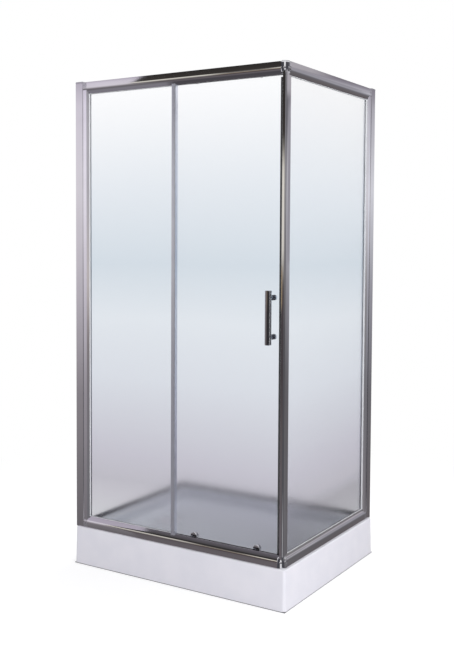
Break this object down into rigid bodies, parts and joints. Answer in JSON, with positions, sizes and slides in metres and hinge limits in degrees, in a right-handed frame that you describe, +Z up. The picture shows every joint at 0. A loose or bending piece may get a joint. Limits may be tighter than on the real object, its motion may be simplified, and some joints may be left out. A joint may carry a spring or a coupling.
{
  "type": "shower enclosure with sliding door",
  "caption": "Rectangular corner shower enclosure on a low white tray, with frosted panels, bright frame and a sliding door.",
  "frame": {"origin": "on the floor, under the foot below the middle of the tray", "axes": "+X along the front towards the side panel, +Y towards the back wall, +Z up"},
  "size_m": [1, 0.8, 2.004],
  "materials": {
    "white_acrylic": "gloss",
    "zinc_plated_steel": "zinc plated",
    "black_plastic": "matt",
    "grey_rubber": "matt",
    "white_plastic": "satin",
    "polished_chrome": "polished",
    "chromed_aluminium": "bright chrome look",
    "silver_plastic": "bright",
    "frosted_glass": "frosted",
    "clear_pvc": "translucent",
    "white_nylon": "satin"
  },
  "bodies": {
    "enclosure": {"tray": "white_acrylic", "support_frame": "zinc_plated_steel", "foot_pads": "black_plastic", "foot_studs": "zinc_plated_steel", "foot_nuts": "zinc_plated_steel", "waste_flange": "polished_chrome", "waste_gasket": "grey_rubber", "trap_body": "white_plastic", "outlet_nut": "white_plastic", "rail_bottom_front": "chromed_aluminium", "rail_top_front": "chromed_aluminium", "rail_bottom_side": "chromed_aluminium", "rail_top_side": "chromed_aluminium", "end_block_bottom_left": "silver_plastic", "end_block_top_left": "silver_plastic", "end_block_bottom_back": "silver_plastic", "end_block_top_back": "silver_plastic", "corner_joiner_bottom": "polished_chrome", "corner_joiner_top": "polished_chrome", "wall_channel_left": "chromed_aluminium", "channel_cap_left": "silver_plastic", "wall_channel_back": "chromed_aluminium", "channel_cap_back": "silver_plastic", "stile_left": "chromed_aluminium", "stile_back": "chromed_aluminium", "stile_screws": "zinc_plated_steel", "corner_post": "chromed_aluminium", "divider_upright": "chromed_aluminium", "fixed_glass_front": "frosted_glass", "fixed_glass_side": "frosted_glass", "front_gasket": "grey_rubber", "side_gasket": "grey_rubber", "post_magnet": "grey_rubber", "door_stops": "grey_rubber"},
    "door": {"door_glass": "frosted_glass", "door_magnet_seal": "clear_pvc", "door_rear_seal": "clear_pvc", "top_carriage_rear": "polished_chrome", "clamp_cap_rear": "polished_chrome", "top_carriage_front": "polished_chrome", "clamp_cap_front": "polished_chrome", "roller_housing_rear": "polished_chrome", "clamp_ring_rear": "polished_chrome", "roller_housing_front": "polished_chrome", "clamp_ring_front": "polished_chrome", "handle_bar": "polished_chrome", "handle_pillar_lower": "polished_chrome", "handle_cap_lower": "polished_chrome", "handle_pillar_upper": "polished_chrome", "handle_cap_upper": "polished_chrome", "handle_washers": "clear_pvc"},
    "top_wheel_rear_a": {"top_wheel_rear_a": "white_nylon"},
    "top_wheel_rear_b": {"top_wheel_rear_b": "white_nylon"},
    "top_wheel_front_a": {"top_wheel_front_a": "white_nylon"},
    "top_wheel_front_b": {"top_wheel_front_b": "white_nylon"},
    "bottom_wheel_rear": {"bottom_wheel_rear": "white_nylon"},
    "bottom_wheel_front": {"bottom_wheel_front": "white_nylon"},
    "roller_slider_rear": {"roller_slider_rear": "polished_chrome"},
    "roller_slider_front": {"roller_slider_front": "polished_chrome"},
    "waste_cover": {"waste_cover": "polished_chrome"}
  },
  "joints": [
    {"name": "door_slide", "type": "slide", "parent": "enclosure", "child": "door", "axis": [-1, 0, 0], "range_m": [0, 0.39]},
    {"name": "top_wheel_rear_a_spin", "type": "hinge", "parent": "door", "child": "top_wheel_rear_a", "pos_m": [0.056, -0.359, 1.9743], "axis": [0, -1, 0], "continuous": true},
    {"name": "top_wheel_rear_b_spin", "type": "hinge", "parent": "door", "child": "top_wheel_rear_b", "pos_m": [0.09, -0.359, 1.9743], "axis": [0, -1, 0], "continuous": true},
    {"name": "top_wheel_front_a_spin", "type": "hinge", "parent": "door", "child": "top_wheel_front_a", "pos_m": [0.339, -0.359, 1.9743], "axis": [0, -1, 0], "continuous": true},
    {"name": "top_wheel_front_b_spin", "type": "hinge", "parent": "door", "child": "top_wheel_front_b", "pos_m": [0.373, -0.359, 1.9743], "axis": [0, -1, 0], "continuous": true},
    {"name": "roller_release_rear", "type": "slide", "parent": "door", "child": "roller_slider_rear", "axis": [0, 0, 1], "range_m": [0, 0.005], "stiffness_N_per_m": 300, "springref_m": -0.01},
    {"name": "bottom_wheel_rear_spin", "type": "hinge", "parent": "roller_slider_rear", "child": "bottom_wheel_rear", "pos_m": [0.073, -0.359, 0.1763], "axis": [0, -1, 0], "continuous": true},
    {"name": "roller_release_front", "type": "slide", "parent": "door", "child": "roller_slider_front", "axis": [0, 0, 1], "range_m": [0, 0.005], "stiffness_N_per_m": 300, "springref_m": -0.01},
    {"name": "bottom_wheel_front_spin", "type": "hinge", "parent": "roller_slider_front", "child": "bottom_wheel_front", "pos_m": [0.356, -0.359, 0.1763], "axis": [0, -1, 0], "continuous": true},
    {"name": "waste_cover_lift", "type": "slide", "parent": "enclosure", "child": "waste_cover", "axis": [0, 0, 1], "range_m": [0, 0.06]}
  ],
  "couplings": [
    {"joint": "top_wheel_rear_a_spin", "follows": "door_slide", "rad_per_m": 111.11},
    {"joint": "top_wheel_rear_b_spin", "follows": "door_slide", "rad_per_m": 111.11},
    {"joint": "top_wheel_front_a_spin", "follows": "door_slide", "rad_per_m": 111.11},
    {"joint": "top_wheel_front_b_spin", "follows": "door_slide", "rad_per_m": 111.11},
    {"joint": "bottom_wheel_rear_spin", "follows": "door_slide", "rad_per_m": 111.11},
    {"joint": "bottom_wheel_front_spin", "follows": "door_slide", "rad_per_m": 111.11}
  ]
}
